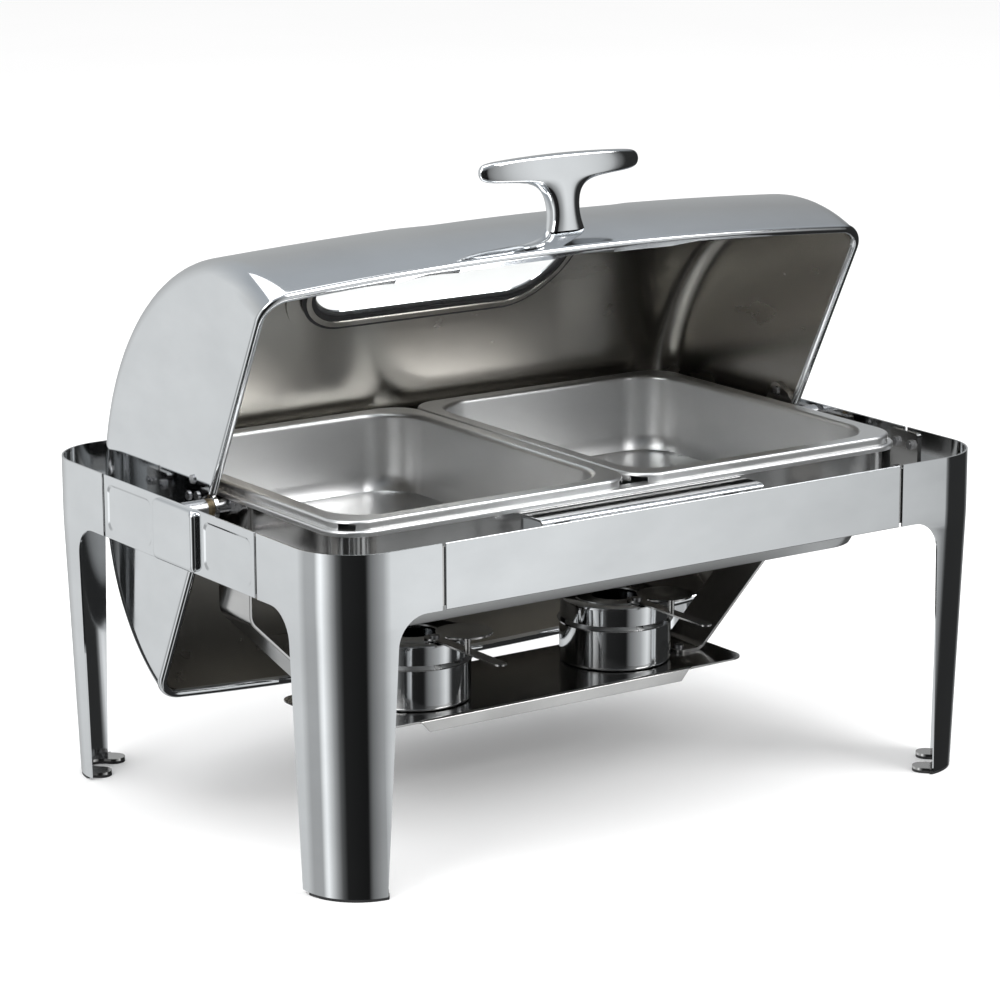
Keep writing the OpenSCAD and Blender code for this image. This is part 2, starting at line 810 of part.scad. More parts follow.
module snuffer_rivets(side) {
    color("gray") at_holder(side) translate([snuffer_post[0], snuffer_post[1], 0]) {
        translate([0, 0, cap_top - 2.2]) cylinder(h = 1, r = 4, $fn = 32);
        translate([0, 0, cap_top - 1.2]) cylinder(h = 3.1, r = 2, $fn = 24);
        translate([0, 0, cap_top + 1.9]) cylinder(h = 1.2, r = 4, $fn = 32);
    }
}

module holder_left() { holder(-1); }
module holder_right() { holder(1); }
module cap_left() { cap(-1); }
module cap_right() { cap(1); }
module snuffer_left() { snuffer(-1); }
module snuffer_right() { snuffer(1); }
module snuffer_rivets_left() { snuffer_rivets(-1); }
module snuffer_rivets_right() { snuffer_rivets(1); }

leg_front_left();
leg_front_right();
leg_rear_left();
leg_rear_right();
front_panel();
rear_panel();
left_panel();
right_panel();
joint_straps();
strap_nuts();
foot_plates();
foot_pads();
pan_support_ring();
front_ledge();
ledge_screws();
closing_bumpers();
pivot_plates();
pivot_covers();
pivot_bolts();
outer_spacers();
inner_spacers();
pivot_nuts();
stop_pins();
hanger_left();
hanger_right();
hanger_rivets();
burner_shelf();
shelf_screws();
lid_shell();
lid_rim();
hinge_plates();
hinge_bushes();
hinge_rivets();
lid_window();
window_seal();
lid_handle();
handle_screws();
water_pan();
food_pan_left();
food_pan_right();
holder_left();
holder_right();
cap_left();
cap_right();
snuffer_left();
snuffer_right();
snuffer_rivets_left();
snuffer_rivets_right();
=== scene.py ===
import json
import math

import bmesh
import bpy
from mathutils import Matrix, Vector


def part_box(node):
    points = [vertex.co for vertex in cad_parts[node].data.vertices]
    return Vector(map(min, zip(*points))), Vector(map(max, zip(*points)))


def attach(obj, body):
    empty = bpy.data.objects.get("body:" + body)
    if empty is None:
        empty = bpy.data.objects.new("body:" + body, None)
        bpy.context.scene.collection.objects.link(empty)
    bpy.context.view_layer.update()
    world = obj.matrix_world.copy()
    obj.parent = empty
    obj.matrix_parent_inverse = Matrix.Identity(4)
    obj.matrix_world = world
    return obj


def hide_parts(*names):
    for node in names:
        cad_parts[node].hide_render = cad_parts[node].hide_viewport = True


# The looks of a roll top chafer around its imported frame. Metres, +Z up, -Y is the serving side.

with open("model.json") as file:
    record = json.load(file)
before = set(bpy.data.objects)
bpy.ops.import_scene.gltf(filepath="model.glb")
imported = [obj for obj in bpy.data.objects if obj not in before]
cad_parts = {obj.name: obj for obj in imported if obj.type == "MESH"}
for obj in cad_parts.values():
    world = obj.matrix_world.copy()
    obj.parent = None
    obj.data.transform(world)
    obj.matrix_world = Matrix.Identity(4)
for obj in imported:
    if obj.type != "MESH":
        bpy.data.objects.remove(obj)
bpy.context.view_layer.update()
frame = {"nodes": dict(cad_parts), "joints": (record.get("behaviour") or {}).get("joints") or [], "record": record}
MM = 0.001

# ---- Sizes taken from the frame ----

leg_low, leg_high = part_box("leg_rear_right")
HALF_X, HALF_Y, TOP = leg_high
WING_X = HALF_X - leg_low.x
WING_Y = HALF_Y - leg_low.y
PAD_TOP = leg_low.z
panel_low, panel_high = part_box("front_panel")
BAND = panel_low.z
SHEET = panel_high.y - panel_low.y
hinge = next(j for j in frame["joints"] if j["name"] == "lid_hinge")
PIVOT = hinge["pos_m"][2]
OPEN_ANGLE = math.radians(hinge["range_deg"][1])
shell_low, shell_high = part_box("lid_shell")
LID_X = shell_high.x
LID_Y = HALF_Y - 21 * MM
LID_H = 172 * MM

# ---- Sizes of the looks ----

CORNER_R = 50 * MM
FOOT_R = 46 * MM
LEAN = 7 * MM
ARCH_R = 24 * MM
KNEE_X = HALF_X - 56.5 * MM
TOE_X = HALF_X - 49 * MM
KNEE_Y = HALF_Y - 61 * MM
TOE_Y = HALF_Y - 58 * MM
LID_T = 1.2 * MM
LID_EDGE_R = 22 * MM
RIM_LOW = -1.5 * MM
RIM_HIGH = 2.5 * MM
RIM_W = 7 * MM
WINDOW_HALF = 117 * MM
WINDOW_FROM = math.radians(26)
WINDOW_TO = math.radians(79)
WINDOW_CORNER = 38 * MM
HANDLE_H = 32 * MM
HANDLE_REACH = 45 * MM
HANDLE_RISE = 25 * MM
HANDLE_DEPTH = 18 * MM
BOW_OUT = 8 * MM
BOW_IN = 6 * MM
ROLL_SIDES = 160
BASIN_R = 38 * MM
FLOOR_BEND = 0.1
CUP_R = 46 * MM
CUP_H = 33.5 * MM
CAP_TOP = 54.5 * MM

# How near an edge or a corner lies to a place to count as being there.
NEAR = 0.1 * MM
TOUCH = 0.01 * MM


# ---- Hand tools: the editing steps that the pieces share ----

def object_mode():
    """Leaves edit mode with nothing selected."""
    if bpy.context.mode != "OBJECT":
        bpy.ops.object.mode_set(mode="OBJECT")
    bpy.ops.object.select_all(action="DESELECT")


def take(piece):
    """Makes a piece the only one selected."""
    object_mode()
    piece.select_set(True)
    bpy.context.view_layer.objects.active = piece


def edit(piece):
    """Opens a piece for editing with all of it selected."""
    take(piece)
    bpy.ops.object.mode_set(mode="EDIT")
    bpy.ops.mesh.select_all(action="SELECT")


def start(name, add, **where):
    """Adds a primitive at its size and place, and opens it for editing."""
    object_mode()
    add(**where)
    piece = bpy.context.object
    piece.name = name
    bpy.ops.object.transform_apply(location=True, rotation=True, scale=True)
    edit(piece)
    return piece


def block(name, low, high):
    """A cube between two corners."""
    low, high = Vector(low), Vector(high)
    return start(name, bpy.ops.mesh.primitive_cube_add, size=1,
                 location=(low + high) / 2, scale=high - low)


def rod(name, low_x, high_x, radius, y=0, z=0, sides=48):
    """A cylinder laid along X."""
    return start(name, bpy.ops.mesh.primitive_cylinder_add, vertices=sides, radius=radius,
                 depth=high_x - low_x, location=((low_x + high_x) / 2, y, z),
                 rotation=(0, math.pi / 2, 0))


def middle(item):
    """Centre of a vertex, edge or face."""
    if isinstance(item, bmesh.types.BMVert):
        return item.co
    return sum((v.co for v in item.verts), Vector()) / len(item.verts)


def along(edge, axis):
    """True if an edge runs along that axis."""
    way = edge.verts[1].co - edge.verts[0].co
    return abs(way[axis]) > 0.999 * way.length


def pick(kind, wanted):
    """Selects only the vertices, edges or faces that are wanted."""
    mesh_of = bpy.context.edit_object.data
    bpy.ops.mesh.select_mode(type={"verts": "VERT", "edges": "EDGE", "faces": "FACE"}[kind])
    bpy.ops.mesh.select_all(action="DESELECT")
    mesh = bmesh.from_edit_mesh(mesh_of)
    for item in getattr(mesh, kind):
        if wanted(item):
            item.select_set(True)
    mesh.select_flush_mode()
    bmesh.update_edit_mesh(mesh_of)


def round_off(radius, segments, wanted):
    """Bevels the wanted edges."""
    pick("edges", wanted)
    bpy.ops.mesh.bevel(offset=radius, segments=segments, affect="EDGES", clamp_overlap=True)


def drop_faces(wanted):
    """Deletes the wanted faces."""
    pick("faces", wanted)
    bpy.ops.mesh.delete(type="FACE")


def pull(move):
    """Extrudes what is selected by a move."""
    bpy.ops.mesh.extrude_region_move(TRANSFORM_OT_translate={"value": move})


def apply(piece, kind, **settings):
    """Adds a modifier and applies it."""
    take(piece)
    modifier = piece.modifiers.new(kind.title(), kind)
    for key, value in settings.items():
        setattr(modifier, key, value)
    bpy.ops.object.modifier_apply(modifier=modifier.name)


def cut(piece, tool, operation="DIFFERENCE"):
    """Cuts a piece with a closed tool, which is then thrown away."""
    apply(piece, "BOOLEAN", object=tool, operation=operation, solver="EXACT")
    bpy.data.objects.remove(tool)


def thicken(piece, wall, **more):
    """Gives a sheet its wall, on the side away from its normals."""
    apply(piece, "SOLIDIFY", thickness=wall, offset=-1, use_even_offset=True, **more)


def soften(piece, width, segments=2, angle=35):
    """Rounds the edges that are sharper than an angle."""
    apply(piece, "BEVEL", width=width, segments=segments, limit_method="ANGLE",
          angle_limit=math.radians(angle), use_clamp_overlap=True)


def polish(piece, angle=36):
    """Smooths the shading and keeps flat faces flat."""
    take(piece)
    bpy.ops.object.shade_smooth_by_angle(angle=math.radians(angle))
    apply(piece, "WEIGHTED_NORMAL", keep_sharp=True, weight=50)


def copy_of(piece, name, mirror=(1, 1, 1), move=(0, 0, 0)):
    """A copy with its own mesh, mirrored about the origin and then moved."""
    take(piece)
    twin = piece.copy()
    twin.data = piece.data.copy()
    twin.name = name
    bpy.context.scene.collection.objects.link(twin)
    edit(twin)
    bpy.ops.transform.resize(value=mirror, center_override=(0, 0, 0))
    if mirror[0] * mirror[1] * mirror[2] < 0:
        bpy.ops.mesh.flip_normals()
    bpy.ops.transform.translate(value=move)
    object_mode()
    return twin


def place(piece, body, slot, *nodes, finish=None):
    """Smooths a finished piece's shading, gives it its material, hangs it under its body and hides the CAD nodes
    that it stands for.
    """
    polish(piece)
    object_mode()
    if not piece.data.materials:
        piece.data.materials.append(finish or SLOT_FINISH[slot])
    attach(piece, body)
    if nodes:
        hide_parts(*nodes)


# ---- Materials ----

def shader_nodes(name):
    """A new material with its shader and the place on the piece."""
    material = bpy.data.materials.new(name)
    material.use_nodes = True
    nodes, links = material.node_tree.nodes, material.node_tree.links
    shader = nodes["Principled BSDF"]
    place_of = nodes.new("ShaderNodeTexCoord").outputs["Object"]
    return material, nodes, links, shader, place_of


def noise(nodes, links, source, scale, detail, stretch=(1, 1, 1)):
    """Soft noise, which a stretch turns into a grain."""
    mapping = nodes.new("ShaderNodeMapping")
    mapping.inputs["Scale"].default_value = stretch
    links.new(source, mapping.inputs["Vector"])
    texture = nodes.new("ShaderNodeTexNoise")
    texture.inputs["Scale"].default_value = scale
    texture.inputs["Detail"].default_value = detail
    links.new(mapping.outputs["Vector"], texture.inputs["Vector"])
    return texture.outputs["Fac"]


def ramp(nodes, links, source, low, high, out_low=0.0, out_high=1.0):
    """Goes from one value to another while the source goes from low to high."""
    ranged = nodes.new("ShaderNodeMapRange")
    ranged.inputs["From Min"].default_value = low
    ranged.inputs["From Max"].default_value = high
    ranged.inputs["To Min"].default_value = out_low
    ranged.inputs["To Max"].default_value = out_high
    links.new(source, ranged.inputs["Value"])
    return ranged.outputs["Result"]


def spread(nodes, links, cloud, low, high):
    """Spreads a noise between two values."""
    return ramp(nodes, links, cloud, 0.3, 0.7, low, high)


def blend_colours(nodes, links, amount, first, second):
    """Mixes two colours."""
    mix = nodes.new("ShaderNodeMix")
    mix.data_type = "RGBA"
    mix.inputs["A"].default_value = (*first, 1)
    mix.inputs["B"].default_value = (*second, 1)
    links.new(amount, mix.inputs["Factor"])
    return mix.outputs["Result"]


def bump(nodes, links, height, strength, depth, under=None):
    """Relief, laid over another where there is one."""
    node = nodes.new("ShaderNodeBump")
    node.inputs["Strength"].default_value = strength
    node.inputs["Distance"].default_value = depth
    links.new(height, node.inputs["Height"])
    if under is not None:
        links.new(under, node.inputs["Normal"])
    return node.outputs["Normal"]


def steel(name, light, dark, smooth, rough, grain, grain_depth, wave_depth):
    """Stainless steel with faint smears, a fine grain and the slow waves of a thin sheet."""
    material, nodes, links, shader, place_of = shader_nodes(name)
    shader.inputs["Metallic"].default_value = 1
    smears = noise(nodes, links, place_of, 14, 5, (1, 1, 2))
    lines = noise(nodes, links, place_of, 260, 3, grain)
    waves = noise(nodes, links, place_of, 9, 1)
    links.new(blend_colours(nodes, links, spread(nodes, links, smears, 0, 1), light, dark),
              shader.inputs["Base Color"])
    links.new(spread(nodes, links, smears, smooth, rough), shader.inputs["Roughness"])
    wavy = bump(nodes, links, waves, 0.25, wave_depth)
    links.new(bump(nodes, links, lines, 0.12, grain_depth, wavy), shader.inputs["Normal"])
    return material


def rubber(name):
    """Dull black rubber with a fine grit and a little dust."""
    material, nodes, links, shader, place_of = shader_nodes(name)
    grit = noise(nodes, links, place_of, 900, 4)
    dust = noise(nodes, links, place_of, 40, 5)
    links.new(blend_colours(nodes, links, spread(nodes, links, dust, 0, 1),
                            (0.012, 0.012, 0.013), (0.03, 0.03, 0.031)),
              shader.inputs["Base Color"])
    links.new(spread(nodes, links, dust, 0.45, 0.7), shader.inputs["Roughness"])
    links.new(bump(nodes, links, grit, 0.2, 0.1 * MM), shader.inputs["Normal"])
    return material


def bronze(name):
    """Porous bearing bronze with stains."""
    material, nodes, links, shader, place_of = shader_nodes(name)
    shader.inputs["Metallic"].default_value = 1
    pores = noise(nodes, links, place_of, 1200, 5)
    stain = noise(nodes, links, place_of, 90, 4)
    links.new(blend_colours(nodes, links, spread(nodes, links, stain, 0, 1),
                            (0.42, 0.34, 0.22), (0.28, 0.22, 0.14)), shader.inputs["Base Color"])
    links.new(spread(nodes, links, pores, 0.3, 0.6), shader.inputs["Roughness"])
    links.new(bump(nodes, links, pores, 0.3, 0.1 * MM), shader.inputs["Normal"])
    return material


def pane_glass(name):
    """Clear glass with a faint haze and a slow ripple."""
    material, nodes, links, shader, place_of = shader_nodes(name)
    shader.inputs["Transmission Weight"].default_value = 1
    shader.inputs["IOR"].default_value = 1.45
    haze = noise(nodes, links, place_of, 22, 6)
    ripple = noise(nodes, links, place_of, 12, 1)
    links.new(blend_colours(nodes, links, spread(nodes, links, haze, 0, 1),
                            (0.97, 0.985, 0.98), (0.93, 0.955, 0.95)), shader.inputs["Base Color"])
    links.new(spread(nodes, links, haze, 0.01, 0.05), shader.inputs["Roughness"])
    links.new(bump(nodes, links, ripple, 0.05, 0.2 * MM), shader.inputs["Normal"])
    return material


mirror_steel = steel("mirror_steel", (0.80, 0.81, 0.82), (0.74, 0.75, 0.76), 0.045, 0.10,
                     (1, 1, 12), 0.02 * MM, 0.35 * MM)
# The lid's inside is the same steel with a darker, warmer colour: painted shade and painted dark reflections.
lid_inside_steel = steel("lid_inside_steel", (0.44, 0.42, 0.385), (0.41, 0.39, 0.36), 0.24, 0.28,
                         (1, 14, 14), 0.05 * MM, 0.3 * MM)
pan_steel = steel("pan_steel", (0.82, 0.82, 0.82), (0.77, 0.77, 0.765), 0.30, 0.37,
                  (1, 10, 10), 0.05 * MM, 0.02 * MM)
plate_steel = steel("plate_steel", (0.66, 0.65, 0.64), (0.54, 0.53, 0.52), 0.10, 0.20,
                    (12, 1, 1), 0.05 * MM, 0.3 * MM)
screw_steel = steel("screw_steel", (0.58, 0.58, 0.59), (0.45, 0.45, 0.46), 0.2, 0.35,
                    (1, 1, 6), 0.05 * MM, 0.05 * MM)
black_rubber = rubber("black_rubber")
bush_bronze = bronze("bush_bronze")
clear_glass = pane_glass("clear_glass")
SLOT_FINISH = {
    "polished_steel": mirror_steel, "satin_steel": pan_steel, "dark_steel": plate_steel,
    "fastener_steel": screw_steel, "black_rubber": black_rubber, "bush_bronze": bush_bronze,
    "clear_glass": clear_glass,
}


# ---- Legs ----

def arch_tool(name, knee, toe, across, turned):
    """Closed tool for the open space between two legs, with round upper corners."""
    size = Vector((knee, across, BAND))
    if turned:
        size = Vector((across, knee, BAND))
    axis = 1 if turned else 0
    tool = block(name, (-size.x, -size.y, 0), (size.x, size.y, BAND))
    round_off(ARCH_R, 10, lambda e: middle(e).z > BAND - MM and along(e, 1 - axis))
    pick("verts", lambda v: v.co.z < MM)
    widen = [1, 1, 1]
    widen[axis] = toe / knee
    bpy.ops.transform.resize(value=widen, center_override=(0, 0, 0))
    return tool


def leg_sheet():
    """One leg: bent sheet with a wide round corner that leans in below the band."""
    leg = block("leg_sheet_rear_right", (HALF_X - WING_X, HALF_Y - WING_Y, PAD_TOP),
                (HALF_X, HALF_Y, TOP))
    drop_faces(lambda f: f.normal.x < 0.5 and f.normal.y < 0.5)
    round_off(CORNER_R, 20, lambda e: along(e, 2) and middle(e).x > HALF_X - MM
              and middle(e).y > HALF_Y - MM)
    bpy.ops.mesh.select_all(action="SELECT")
    bpy.ops.mesh.bisect(plane_co=(0, 0, BAND), plane_no=(0, 0, 1))
    pick("verts", lambda v: v.co.z < PAD_TOP + MM and v.co.x > HALF_X - CORNER_R - MM
         and v.co.y > HALF_Y - CORNER_R - MM)
    shrink = FOOT_R / CORNER_R
    bpy.ops.transform.resize(value=(shrink, shrink, 1), center_override=(HALF_X, HALF_Y, PAD_TOP))
    pick("verts", lambda v: v.co.z < PAD_TOP + MM)
    bpy.ops.transform.translate(value=(-LEAN, -LEAN, 0))
    lean_bend_r = 9 * MM
    round_off(lean_bend_r, 4, lambda e: all(abs(v.co.z - BAND) < NEAR for v in e.verts))
    thicken(leg, SHEET)
    cut(leg, arch_tool("long_arch", KNEE_X, TOE_X, HALF_Y + 20 * MM, False))
    cut(leg, arch_tool("short_arch", KNEE_Y, TOE_Y, HALF_X + 20 * MM, True))
    soften(leg, 0.4 * MM, 2)
    return leg


leg = leg_sheet()
for name, mirror in (("front_left", (-1, -1, 1)), ("front_right", (1, -1, 1)),
                     ("rear_left", (-1, 1, 1))):
    place(copy_of(leg, "leg_sheet_" + name, mirror), "frame", "polished_steel", "leg_" + name)
place(leg, "frame", "polished_steel", "leg_rear_right")


# ---- Panels ----

def long_panel_sheet():
    """Plain panel of the rear, which the front repeats."""
    low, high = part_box("rear_panel")
    panel = block("panel_sheet_rear", low, high)
    round_off(0.6 * MM, 3, lambda e: True)
    return panel


def field_tool(side):
    """Shallow tool with sloping sides for one pressed field of a side panel."""
    low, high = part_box("right_panel")
    slope, sunk, over = 1.8 * MM, 0.95 * MM, 0.05 * MM
    inner, outer = 40 * MM, high.y - 5 * MM
    first, last = (inner, outer) if side > 0 else (-outer, -inner)
    foot, head = low.z + 6 * MM, high.z - 6 * MM
    tool = block("field_tool", (HALF_X - sunk, first, foot), (HALF_X + over, last, head))
    round_off(7 * MM, 8, lambda e: along(e, 0))
    pick("faces", lambda f: f.normal.x < -0.9)
    bpy.ops.transform.resize(
        value=(1, 1 - 2 * slope / (last - first), 1 - 2 * slope / (head - foot)),
        center_override=(HALF_X, (first + last) / 2, (foot + head) / 2))
    return tool


def side_panel_sheet():
    """Panel of one end with its two pressed fields."""
    low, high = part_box("right_panel")
    panel = block("panel_sheet_right", low, high)
    round_off(0.5 * MM, 3, lambda e: True)
    for side in (-1, 1):
        cut(panel, field_tool(side))
    soften(panel, 0.7 * MM, 3, 12)
    return panel


def pivot_cover_cap():
    """Pressed boss over a pivot bolt, open at its back."""
    low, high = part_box("pivot_covers")
    cover = block("pivot_cover_right", (HALF_X, low.y, low.z), high)
    round_off(6 * MM, 8, lambda e: along(e, 0))
    round_off(3.6 * MM, 6, lambda e: all(v.co.x > high.x - NEAR for v in e.verts))
    drop_faces(lambda f: f.normal.x < -0.9)
    thicken(cover, 1.2 * MM)
    return cover


rear = long_panel_sheet()
place(copy_of(rear, "panel_sheet_front", (1, -1, 1)), "frame", "polished_steel",
      "front_panel")
place(rear, "frame", "polished_steel", "rear_panel")
side_sheet = side_panel_sheet()
place(copy_of(side_sheet, "panel_sheet_left", (-1, 1, 1)), "frame", "polished_steel",
      "left_panel")
place(side_sheet, "frame", "polished_steel", "right_panel")
cover = pivot_cover_cap()
place(copy_of(cover, "pivot_cover_left", (-1, 1, 1)), "frame", "polished_steel")
place(cover, "frame", "polished_steel", "pivot_covers")


# ---- Support ring, ledge, hangers and shelf ----

def support_ring_band():
    """Upright band under the water pan's rim."""
    low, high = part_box("pan_support_ring")
    ring = block("support_ring_band", low, high)
    round_off(26 * MM, 10, lambda e: along(e, 2))
    drop_faces(lambda f: abs(f.normal.z) > 0.9)
    thicken(ring, 2 * MM)
    soften(ring, 0.5 * MM)
    return ring


def folded_strip(name, axis, half_width, points, wall, bend_r, ends_r=0.0):
    """Strip of sheet that lies along an axis: one edge pulled from point to point, then bent."""
    at = [Vector((0, a, b)) if axis == 0 else Vector((a, 0, b)) for a, b in points]
    strip = start(name, bpy.ops.mesh.primitive_plane_add, size=2 * half_width, location=at[0])
    pick("verts", lambda v: (v.co - at[0])[1 - axis] > 0)
    bpy.ops.mesh.delete(type="VERT")
    pick("edges", lambda e: True)
    home = Vector()
    home[1 - axis] = half_width
    bpy.ops.transform.translate(value=home)
    for here, there in zip(at, at[1:]):
        pull(there - here)
    if ends_r:
        pick("verts", lambda v: any(abs((v.co - end)[2]) + abs((v.co - end)[1 - axis]) < TOUCH
                                    for end in (at[0], at[-1])))
        bpy.ops.mesh.bevel(offset=ends_r, segments=6, affect="VERTICES")
    round_off(bend_r, 6, lambda e: along(e, axis)
              and min((middle(e) - fold).length for fold in at[1:-1]) < TOUCH)
    apply(strip, "SOLIDIFY", thickness=wall, offset=0, use_even_offset=True)
    soften(strip, 0.5 * MM, 3, 40)
    return strip


def hanger_strap():
    """Strap from the shelf out at 45 degrees and up the side of the support ring."""
    low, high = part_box("hanger_right")
    wall = 2.5 * MM
    foot_z = low.z + wall / 2
    out_x = high.x - wall / 2
    bend_x = low.x + 23 * MM
    return folded_strip("hanger_strap_right", 1, high.y,
                        [(low.x, foot_z), (bend_x, foot_z), (out_x, foot_z + out_x - bend_x),
                         (out_x, high.z)], wall, 5 * MM, 6 * MM)


def stop_ledge():
    """Folded ledge behind the front panel that carries the lid's bumpers."""
    low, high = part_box("front_ledge")
    wall = 2 * MM
    back, front = high.y - wall / 2, low.y + wall / 2
    top = high.z - wall / 2
    step_y, step_z = back - 25 * MM, top - 10 * MM
    return folded_strip("stop_ledge", 0, high.x,
                        [(back, high.z - 22 * MM), (back, top), (step_y, top), (step_y, step_z),
                         (front, step_z), (front, low.z)], wall, 2.5 * MM, 5 * MM)


def shelf_tray():
    """Burner shelf with round corners and turned-down front and rear flanges."""
    low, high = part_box("burner_shelf")
    flange_x = high.x - 58 * MM
    shelf = start("shelf_tray", bpy.ops.mesh.primitive_plane_add, size=2, location=(0, 0, high.z))
    bpy.ops.transform.resize(value=(high.x, high.y, 1), center_override=(0, 0, high.z))
    pick("verts", lambda v: True)
    bpy.ops.mesh.bevel(offset=14 * MM, segments=8, affect="VERTICES")
    for side in (-1, 1):
        bpy.ops.mesh.select_all(action="SELECT")
        bpy.ops.mesh.bisect(plane_co=(side * flange_x, 0, 0), plane_no=(1, 0, 0))
    pick("edges", lambda e: abs(middle(e).x) < flange_x and abs(abs(middle(e).y) - high.y) < NEAR
         and along(e, 0))
    pull((0, 0, low.z - high.z))
    shorter = (flange_x - 9 * MM) / flange_x
    bpy.ops.transform.resize(value=(shorter, 1, 1), center_override=(0, 0, 0))
    round_off(2.5 * MM, 4, lambda e: abs(middle(e).x) < flange_x and along(e, 0)
              and abs(abs(middle(e).y) - high.y) < NEAR and middle(e).z > high.z - NEAR)
    thicken(shelf, 1.5 * MM)
    soften(shelf, 0.4 * MM, 2, 40)
    return shelf


place(support_ring_band(), "frame", "dark_steel", "pan_support_ring")
place(stop_ledge(), "frame", "polished_steel", "front_ledge")
place(shelf_tray(), "frame", "dark_steel", "burner_shelf")
hanger = hanger_strap()
place(copy_of(hanger, "hanger_strap_left", (-1, 1, 1)), "frame", "dark_steel",
      "hanger_left")
place(hanger, "frame", "dark_steel", "hanger_right")


# ---- Lid: drawn closed about its pivot, then swung open ----

def swing_open(piece):
    """Turns a piece drawn on the closed lid to its place on the open lid."""
    take(piece)
    piece.rotation_euler.x = -OPEN_ANGLE
    piece.location.z = PIVOT
    bpy.ops.object.transform_apply(location=True, rotation=True, scale=True)
    object_mode()


def roll_at(angle):
    """Point of the roll's outside, by angle from the front lip."""
    return Vector((0, -LID_Y * math.cos(angle), LID_H * math.sin(angle)))


def bow():
    """Bows the long sides outwards: rings across the piece, each pulled out by its place along X."""
    for k in range(-9, 10):
        bpy.ops.mesh.select_all(action="SELECT")
        bpy.ops.mesh.bisect(plane_co=(k * LID_X / 10, 0, 0), plane_no=(1, 0, 0))
    mesh = bmesh.from_edit_mesh(bpy.context.edit_object.data)
    for x in sorted({round(v.co.x, 6) for v in mesh.verts}):
        pick("verts", lambda v: abs(v.co.x - x) < 0.001 * MM)
        out = 1 + (BOW_OUT - (BOW_OUT + BOW_IN) * (x / LID_X) ** 2) / LID_Y
        bpy.ops.transform.resize(value=(1, out, 1), center_override=(0, 0, 0))


def window_tool(margin):
    """Closed tool with the window's outline and a margin round it."""
    first, last = roll_at(WINDOW_FROM), roll_at(WINDOW_TO)
    reach = Vector((WINDOW_HALF + margin, (last - first).length / 2 + margin, 70 * MM))
    tool = block("window_tool", -reach, reach)
    round_off(WINDOW_CORNER + margin, 14, lambda e: along(e, 2))
    object_mode()
    tool.select_set(True)
    tool.rotation_euler.x = math.atan2((last - first).z, (last - first).y)
    tool.location = (first + last) / 2
    bpy.ops.object.transform_apply(location=True, rotation=True, scale=True)
    return tool


def roll_surface(name, inset, half_length):
    """Whole elliptic roll, some way inside the lid's outside."""
    roll = rod(name, -half_length, half_length, 1, sides=ROLL_SIDES)
    bpy.ops.transform.resize(value=(1, LID_Y - inset, LID_H - inset), center_override=(0, 0, 0))
    return roll


def open_below(height):
    """Cuts off what lies below a height and leaves it open."""
    bpy.ops.mesh.select_all(action="SELECT")
    bpy.ops.mesh.bisect(plane_co=(0, 0, height), plane_no=(0, 0, 1), clear_inner=True)


def lid_roll():
    """Roll top: thin sheet with rounded ends, a window opening and a notch at each pivot."""
    roll = roll_surface("lid_roll", 0, LID_X)
    round_off(LID_EDGE_R, 10, lambda e: abs(middle(e).x) > LID_X - NEAR)
    open_below(RIM_HIGH)
    bow()
    object_mode()
    roll.data.materials.append(mirror_steel)
    # inside face: steel with painted shade in its darker, warmer colour
    roll.data.materials.append(lid_inside_steel)
    thicken(roll, LID_T, material_offset=1)
    cut(roll, rod("pivot_notch", -LID_X - MM, LID_X + MM, 9 * MM))
    cut(roll, window_tool(0))
    swing_open(roll)
    return roll


def window_layer(name, inset, wall, margin, opening=None):
    """A layer of the window that follows the roll: the pane, or a frame round its opening."""
    layer = roll_surface(name, inset, LID_X - 60 * MM)
    drop_faces(lambda f: abs(f.normal.x) > 0.9)
    open_below(20 * MM)
    bow()
    thicken(layer, wall)
    cut(layer, window_tool(margin), "INTERSECT")
    if opening is not None:
        cut(layer, window_tool(opening))
    soften(layer, min(0.9 * MM, wall / 3), 3, 50)
    swing_open(layer)
    return layer


def rounded_block(name, half_x, half_y, low, high, radius):
    """Closed block with round upright corners, centred on the lid or a pan."""
    piece = block(name, (-half_x, -half_y, low), (half_x, half_y, high))
    round_off(radius, 10, lambda e: along(e, 2))
    return piece


def lid_rim_frame():
    """Rolled rim round the mouth of the lid."""
    proud = 0.8 * MM
    rim = rounded_block("lid_rim_frame", LID_X + proud, LID_Y + proud, RIM_LOW, RIM_HIGH,
                        LID_EDGE_R + proud)
    bow()
    mouth = rounded_block("mouth_tool", LID_X - RIM_W, LID_Y - RIM_W, RIM_LOW - MM,
                          RIM_HIGH + MM, LID_EDGE_R - RIM_W)
    bow()
    cut(rim, mouth)
    edit(rim)
    roll_r = 3.6 * MM
    round_off(roll_r, 8, lambda e: middle(e).z < RIM_LOW + NEAR and e.calc_face_angle(0) > 0.5)
    cut(rim, rod("lug_tool", -LID_X - 5 * MM, LID_X + 5 * MM, 13.5 * MM))
    swing_open(rim)
    return rim


